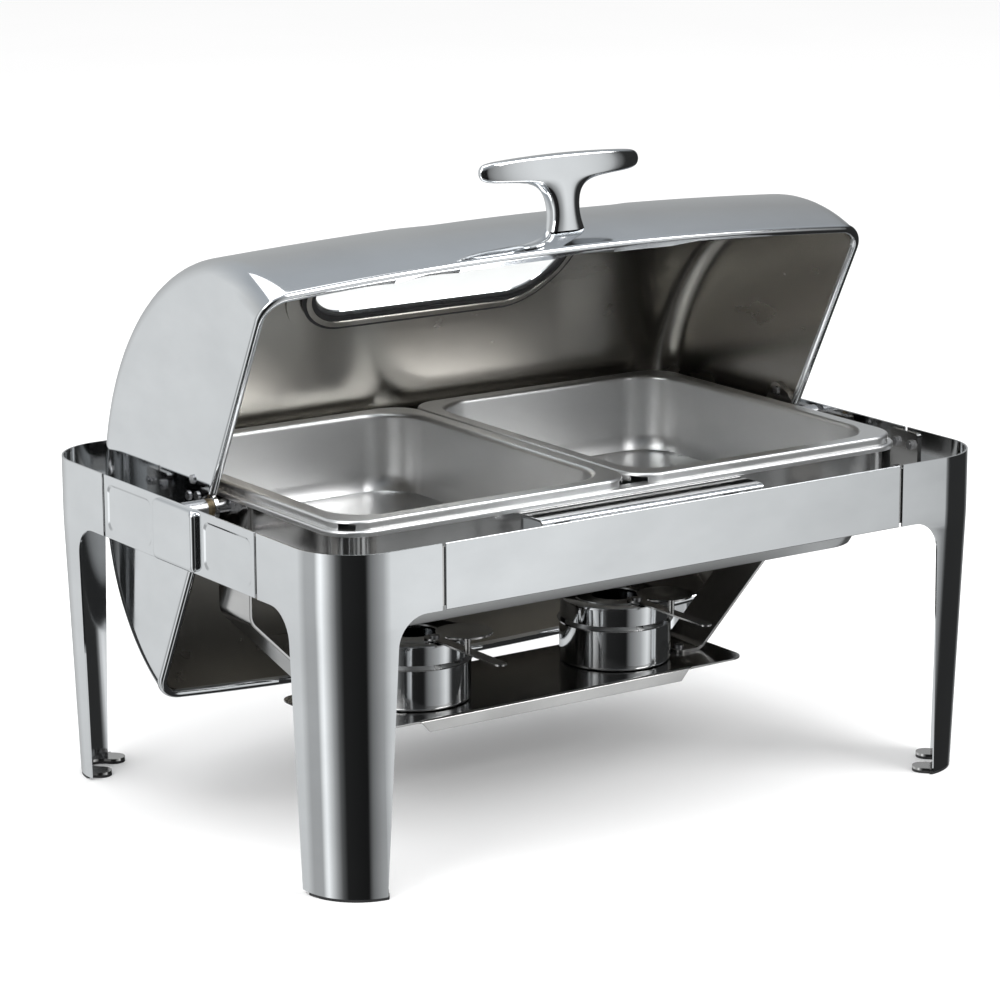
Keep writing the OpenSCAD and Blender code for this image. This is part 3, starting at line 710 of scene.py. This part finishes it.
def lid_t_handle():
    """Cast T handle: an outline of edges pulled up a leaning stem, given depth and rounded."""
    foot = Vector((0, -(LID_Y + BOW_OUT - 4 * MM), HANDLE_H - 4 * MM))
    bar = Vector((0, -(LID_Y + HANDLE_REACH), HANDLE_H + HANDLE_RISE))
    way = (bar - foot).normalized()
    to_bar = (bar - foot).length
    bar_half, stem_half = 79 * MM, 13.5 * MM
    outline = [(0, stem_half + 4 * MM), (3 * MM, stem_half + 3 * MM), (13 * MM, stem_half),
               (to_bar - 24 * MM, stem_half + MM), (to_bar - 15 * MM, stem_half + 7 * MM),
               (to_bar - 10.5 * MM, stem_half + 20 * MM), (to_bar - 9 * MM, bar_half - 18 * MM),
               (to_bar - 7 * MM, bar_half), (to_bar + 6 * MM, bar_half),
               (to_bar + 8 * MM, bar_half - 14 * MM)]
    reach, width = outline[0]
    handle = start("lid_t_handle", bpy.ops.mesh.primitive_grid_add, x_subdivisions=2,
                   y_subdivisions=1, size=2 * width, location=foot + Vector((0, width, 0)))
    pick("verts", lambda v: v.co.y > foot.y + width)
    bpy.ops.mesh.delete(type="VERT")
    pick("edges", lambda e: True)
    for next_reach, half_width in outline[1:]:
        pull(way * (next_reach - reach))
        bpy.ops.transform.resize(value=(half_width / width, 1, 1), center_override=foot)
        reach, width = next_reach, half_width
    pick("verts", lambda v: abs(v.co.x) < MM and (v.co - foot).dot(way) > reach - NEAR)
    crest = 3 * MM
    bpy.ops.transform.translate(value=way * crest)
    apply(handle, "SOLIDIFY", thickness=HANDLE_DEPTH, offset=0)
    edit(handle)
    bpy.ops.mesh.normals_make_consistent(inside=False)
    pick("edges", lambda e: (middle(e) - foot).dot(way) < MM)
    bpy.ops.transform.edge_crease(value=1)
    apply(handle, "SUBSURF", levels=4, render_levels=4)
    swing_open(handle)
    return handle


place(lid_roll(), "lid", "polished_steel", "lid_shell")
place(lid_rim_frame(), "lid", "polished_steel", "lid_rim")
place(window_layer("window_gasket", LID_T, 5 * MM, 12 * MM, 0.6 * MM), "lid", "black_rubber",
      "window_seal")
# The window's frame and trim take the lid's inside steel, with its painted shade.
place(window_layer("window_frame", LID_T, 1.6 * MM, 25 * MM, 11.5 * MM), "lid", "dark_steel",
      finish=lid_inside_steel)
place(window_layer("window_trim", LID_T + 3 * MM, 3 * MM, 9 * MM, 4.5 * MM), "lid", "dark_steel",
      finish=lid_inside_steel)
place(window_layer("window_pane", LID_T + 1.5 * MM, 2.5 * MM, 11 * MM), "lid", "clear_glass",
      "lid_window")
place(lid_t_handle(), "lid", "polished_steel", "lid_handle")


# ---- Pans ----

def upward():
    """Turns the faces of an open sheet so that its flat lip looks up."""
    bpy.ops.mesh.select_all(action="SELECT")
    bpy.ops.mesh.normals_make_consistent(inside=False)
    mesh = bmesh.from_edit_mesh(bpy.context.edit_object.data)
    if max(mesh.faces, key=lambda f: middle(f).z).normal.z < 0:
        bpy.ops.mesh.flip_normals()


def round_plate(centre, half_x, half_y, radius):
    """Adds a flat plate with round corners to the mesh that is being edited."""
    bpy.ops.mesh.select_all(action="DESELECT")
    bpy.ops.mesh.primitive_plane_add(size=2, location=centre)
    bpy.ops.transform.resize(value=(half_x, half_y, 1), center_override=centre)
    bpy.ops.mesh.select_mode(type="VERT")
    bpy.ops.mesh.bevel(offset=radius, segments=12, affect="VERTICES")


def tub(name, node, rim_r, skirt, lip, notched):
    """Deep drawn pan: flat lip with a turned-down edge, tapering basin and rounded floor."""
    low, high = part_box(node)
    centre = Vector(((low.x + high.x) / 2, (low.y + high.y) / 2, high.z))
    half_x, half_y = (high.x - low.x) / 2, (high.y - low.y) / 2
    wall = MM
    pan = start(name, bpy.ops.mesh.primitive_plane_add, size=2, location=centre)
    bpy.ops.transform.resize(value=(half_x, half_y, 1), center_override=centre)
    bpy.ops.mesh.select_mode(type="VERT")
    bpy.ops.mesh.bevel(offset=rim_r, segments=12, affect="VERTICES")
    round_plate(centre, half_x - lip, half_y - lip, BASIN_R)
    bpy.ops.mesh.select_mode(type="FACE")
    bpy.ops.mesh.select_all(action="SELECT")
    bpy.ops.mesh.delete(type="ONLY_FACE")
    pick("edges", lambda e: True)
    bpy.ops.mesh.bridge_edge_loops()

    def on_corner(vert):
        """True on the flat lip's outer round corners."""
        past_x = abs(vert.co.x - centre.x) - half_x + rim_r
        past_y = abs(vert.co.y - centre.y) - half_y + rim_r
        return (len(vert.link_edges) == 3 and min(past_x, past_y) > -TOUCH
                and math.hypot(past_x, past_y) > rim_r - NEAR)

    def is_rim(edge):
        """True on the lip's outer outline."""
        away = middle(edge) - centre
        return (abs(away.x) > half_x - lip / 2 or abs(away.y) > half_y - lip / 2
                or all(on_corner(v) for v in edge.verts))

    pick("edges", lambda e: e.is_boundary and is_rim(e))
    pull((0, 0, -skirt))
    upper = high.z - NEAR
    pick("edges", lambda e: e.is_boundary and middle(e).z > upper)
    depth = high.z - low.z - wall
    for part_of_depth, inward in ((0.3, 1 * MM), (0.6, 3 * MM), (FLOOR_BEND, 4 * MM)):
        pull((0, 0, -part_of_depth * depth))
        bpy.ops.transform.resize(value=(1 - inward / half_x, 1 - inward / half_y, 1),
                                 center_override=centre)
    floor_crown = 1.2 * MM
    floor_r = 16 * MM
    bpy.ops.mesh.edge_face_add()
    bpy.ops.mesh.inset(thickness=12 * MM)
    bpy.ops.transform.translate(value=(0, 0, floor_crown))
    upward()
    bend_z = low.z + wall + FLOOR_BEND * depth
    round_off(floor_r, 6, lambda e: len(e.link_faces) == 2 and abs(middle(e).z - bend_z) < 1.5 * MM
              and e.calc_face_angle(0) > 0.15)
    round_off(4 * MM, 5, lambda e: middle(e).z > upper and not e.is_boundary and not is_rim(e)
              and e.calc_face_angle(0) > 0.9)
    round_off(min(2.6 * MM, skirt * 0.45), 5, lambda e: middle(e).z > upper
              and e.calc_face_angle(0) > 0.9 and is_rim(e))
    if notched:
        drop_faces(lambda f: middle(f).z < high.z - 2.7 * MM and middle(f).z > high.z - skirt
                   and abs(middle(f).x - centre.x) > half_x - 13 * MM
                   and abs(middle(f).y - centre.y) > half_y - 13 * MM)
    thicken(pan, wall)
    soften(pan, 0.3 * MM, 2, 50)
    return pan


water = tub("water_basin", "water_pan", rim_r=30 * MM, skirt=4.5 * MM, lip=15 * MM, notched=False)
place(water, "water_pan", "satin_steel", "water_pan")
food = tub("food_basin_left", "food_pan_left", rim_r=26 * MM, skirt=7 * MM, lip=14 * MM, notched=True)
food_low, food_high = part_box("food_pan_left")
place(copy_of(food, "food_basin_right", move=(-(food_low.x + food_high.x), 0, 0)),
      "food_pan_right", "satin_steel", "food_pan_right")
place(food, "food_pan_left", "satin_steel", "food_pan_left")


# ---- Fuel holders ----

def turned(name, steps, sides=72):
    """Thin turned part: a ring of edges pulled through (radius, height) steps, from top to foot."""
    radius, height = steps[0]
    ring = start(name, bpy.ops.mesh.primitive_circle_add, vertices=sides, radius=radius,
                 location=(0, 0, height))
    pick("edges", lambda e: True)
    for step_radius, step_height in steps[1:]:
        pull((0, 0, step_height - height))
        bpy.ops.transform.resize(value=(step_radius / radius, step_radius / radius, 1),
                                 center_override=(0, 0, step_height))
        radius, height = step_radius, step_height
    return ring


def fuel_cup():
    """Cup with a flat floor and a bevelled foot."""
    cup = turned("fuel_cup", ((CUP_R, CUP_H), (CUP_R, 3 * MM), (CUP_R - MM, MM), (CUP_R - 3 * MM, 0)))
    bpy.ops.mesh.edge_face_add()
    bpy.ops.mesh.select_all(action="SELECT")
    bpy.ops.mesh.normals_make_consistent(inside=False)
    thicken(cup, MM)
    return cup


def fuel_cap():
    """Lid of the holder: flame hole, flat top, round shoulder, bead and inner skirt."""
    top, seat = CAP_TOP, CUP_H
    hole, body, bead, skirt = 19 * MM, 45.5 * MM, 48 * MM, 44.5 * MM
    cap = turned("fuel_cap", (
        (hole, top - 3 * MM), (hole, top - MM), (hole + MM, top), (body - 12 * MM, top),
        (body - 11 * MM, top - 0.8 * MM), (body - 3 * MM, top - 0.8 * MM),
        (body - 0.9 * MM, top - 1.7 * MM), (body, top - 4 * MM), (body, seat + 4.4 * MM),
        (bead - 1.2 * MM, seat + 3.2 * MM), (bead, seat + 1.7 * MM), (bead - 0.8 * MM, seat + 0.3 * MM),
        (body - 0.6 * MM, seat), (skirt, seat - MM), (skirt, seat - 8 * MM)))
    upward()
    thicken(cap, 0.8 * MM)
    return cap


def snuffer_lever():
    """Flat lever with a disc for the flame hole, an eye for its rivet and a finger pin."""
    low, high = CAP_TOP + 0.2 * MM, CAP_TOP + 1.7 * MM
    lever_r = 5 * MM
    lever = block("snuffer_lever", (-lever_r, -127 * MM, low), (lever_r, -30 * MM, high))
    round_off(lever_r * 0.98, 8, lambda e: along(e, 2) and middle(e).y < -120 * MM)
    neck = block("neck", (0, -37 * MM, low), (16 * MM, -23 * MM, high))
    cut(lever, neck, "UNION")
    for name, radius, (x, y), proud in (("disc", 23 * MM, (29 * MM, -29 * MM), 0),
                                        ("eye", 8 * MM, (0, -30 * MM), 0),
                                        ("finger_pin", 2.5 * MM, (0, -77 * MM), 9.5 * MM)):
        disc = start(name, bpy.ops.mesh.primitive_cylinder_add, vertices=48, radius=radius,
                     depth=high - low + proud, location=(x, y, (low + high + proud) / 2))
        cut(lever, disc, "UNION")
    soften(lever, 0.4 * MM, 2, 40)
    return lever


def set_on_shelf(model, part, slot):
    """Puts a copy of a holder part at each of the two places on the shelf."""
    for side in ("left", "right"):
        low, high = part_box("holder_" + side)
        piece = copy_of(model, model.name + "_" + side,
                        move=((low.x + high.x) / 2, (low.y + high.y) / 2, low.z))
        place(piece, part + "_" + side, slot, part + "_" + side)
    bpy.data.objects.remove(model)


set_on_shelf(fuel_cup(), "holder", "polished_steel")
set_on_shelf(fuel_cap(), "cap", "polished_steel")
set_on_shelf(snuffer_lever(), "snuffer", "dark_steel")


# ---- CAD nodes that stay as they are ----

object_mode()
for part in frame["record"]["subparts"]:
    node = frame["nodes"][part["node"]]
    node.data.materials.clear()
    node.data.materials.append(SLOT_FINISH[part["material_slot"]])


# ---- Stage, light and camera ----

# Brightness of the room's walls by degrees round from -X through -Y.
WALL_LIGHT = (
    (0, 1.3), (8, 0.85), (18, 0.42), (28, 0.12), (38, 0.02),    # window on the left fades out
    (77, 0.012), (86, 0.2), (108, 0.45), (118, 0.74), (124, 0.92),    # up to the front light
    (128, 0.78), (132, 0.58), (134, 0.24), (140, 0.03), (198, 0.03),    # dark right wall
    (216, 0.3), (234, 0.42), (262, 0.55), (288, 0.78), (308, 0.8),    # pale rear wall
    (326, 0.5), (348, 0.5), (355, 1.1), (360, 1.3),    # back to the window
)
WALL_TINT = (0.965, 0.99, 1)
CEILING_LIGHT = (0.44, 0.47, 0.5, 1)
LOW_SHADE = 0.88
EYE = (-1.6585, -2.4015, 0.9254)
EYE_DOWN = 13.538
EYE_ROLL = 0.215
EYE_TURN = -34.434
EYE_LENS = 134.75


def stage_floor():
    """Plain pale floor that isn't mirrored in the steel."""
    floor = start("floor", bpy.ops.mesh.primitive_circle_add, vertices=64, radius=30,
                  fill_type="NGON", location=(0, 0, 0))
    object_mode()
    material, nodes, links, shader, place_of = shader_nodes("pale_floor")
    cloud = noise(nodes, links, place_of, 1.5, 3)
    links.new(blend_colours(nodes, links, cloud, (0.90, 0.90, 0.90), (0.93, 0.93, 0.93)),
              shader.inputs["Base Color"])
    shader.inputs["Roughness"].default_value = 0.9
    shader.inputs["Specular IOR Level"].default_value = 0
    floor.data.materials.append(material)
    floor.visible_glossy = False


def soft_box(name, place_at, aim, width, height, power):
    """Large soft lamp turned towards a point."""
    bpy.ops.object.light_add(type="AREA", location=place_at)
    lamp = bpy.context.object
    lamp.name = name
    lamp.data.shape = "RECTANGLE"
    lamp.data.size = width
    lamp.data.size_y = height
    lamp.data.energy = power
    lamp.rotation_euler = (Vector(aim) - Vector(place_at)).to_track_quat("-Z", "Y").to_euler()


def wall_colours(nodes, links, way):
    """Light of the walls by the direction round the room."""
    turn = nodes.new("ShaderNodeMath")
    turn.operation = "ARCTAN2"
    links.new(way.outputs["Y"], turn.inputs[0])
    links.new(way.outputs["X"], turn.inputs[1])
    walls = nodes.new("ShaderNodeValToRGB")
    walls.color_ramp.elements.remove(walls.color_ramp.elements[1])
    for degrees, light in WALL_LIGHT:
        stop = walls.color_ramp.elements.new(degrees / 360)
        stop.color = (*(light * tint for tint in WALL_TINT), 1)
    walls.color_ramp.elements.remove(walls.color_ramp.elements[0])
    links.new(ramp(nodes, links, turn.outputs["Value"], -math.pi, math.pi), walls.inputs["Fac"])
    return walls.outputs["Color"]


def room():
    """White room that polished steel shows as soft light and dark walls."""
    world = bpy.data.worlds.new("studio_room")
    bpy.context.scene.world = world
    world.use_nodes = True
    nodes, links = world.node_tree.nodes, world.node_tree.links
    way = nodes.new("ShaderNodeSeparateXYZ")
    links.new(nodes.new("ShaderNodeTexCoord").outputs["Generated"], way.inputs["Vector"])
    shell = nodes.new("ShaderNodeMix")
    shell.data_type = "RGBA"
    shell.inputs["B"].default_value = CEILING_LIGHT
    links.new(ramp(nodes, links, way.outputs["Z"], 0.35, 0.75), shell.inputs["Factor"])
    links.new(wall_colours(nodes, links, way), shell.inputs["A"])
    shade = nodes.new("ShaderNodeVectorMath")
    shade.operation = "SCALE"
    links.new(shell.outputs["Result"], shade.inputs["Vector"])
    links.new(ramp(nodes, links, way.outputs["Z"], -0.36, -0.25, LOW_SHADE), shade.inputs["Scale"])
    plain = nodes.new("ShaderNodeMath")
    plain.operation = "SUBTRACT"
    plain.inputs[0].default_value = 1
    links.new(nodes.new("ShaderNodeLightPath").outputs["Is Glossy Ray"], plain.inputs[1])
    seen = nodes.new("ShaderNodeMix")
    seen.data_type = "RGBA"
    seen.inputs["B"].default_value = (1, 1, 1, 1)
    links.new(plain.outputs["Value"], seen.inputs["Factor"])
    links.new(shade.outputs["Vector"], seen.inputs["A"])
    links.new(seen.outputs["Result"], nodes["Background"].inputs["Color"])


def soft_lights():
    """Three large lamps: above, in front on the right, and on the left."""
    soft_box("top_light", (-0.4, 0.4, 3.4), (0, 0, 0.2), 3.2, 2.6, 40)
    soft_box("front_light", (1.3, -2.1, 2.3), (0, 0, 0.2), 1.8, 1.8, 55)
    soft_box("left_light", (-2.6, -0.9, 2.2), (0, 0, 0.2), 1.4, 1.8, 30)


def camera():
    """View from above the left front corner."""
    bpy.ops.object.camera_add(location=EYE)
    eye = bpy.context.object
    eye.name = "view_camera"
    eye.rotation_euler = [math.radians(turn) for turn in (90 - EYE_DOWN, EYE_ROLL, EYE_TURN)]
    eye.data.lens = EYE_LENS
    eye.data.sensor_width = 36
    eye.data.clip_start = 0.1
    eye.data.clip_end = 60
    bpy.context.scene.camera = eye


stage_floor()
room()
soft_lights()
camera()
bpy.context.scene.view_settings.view_transform = "Standard"
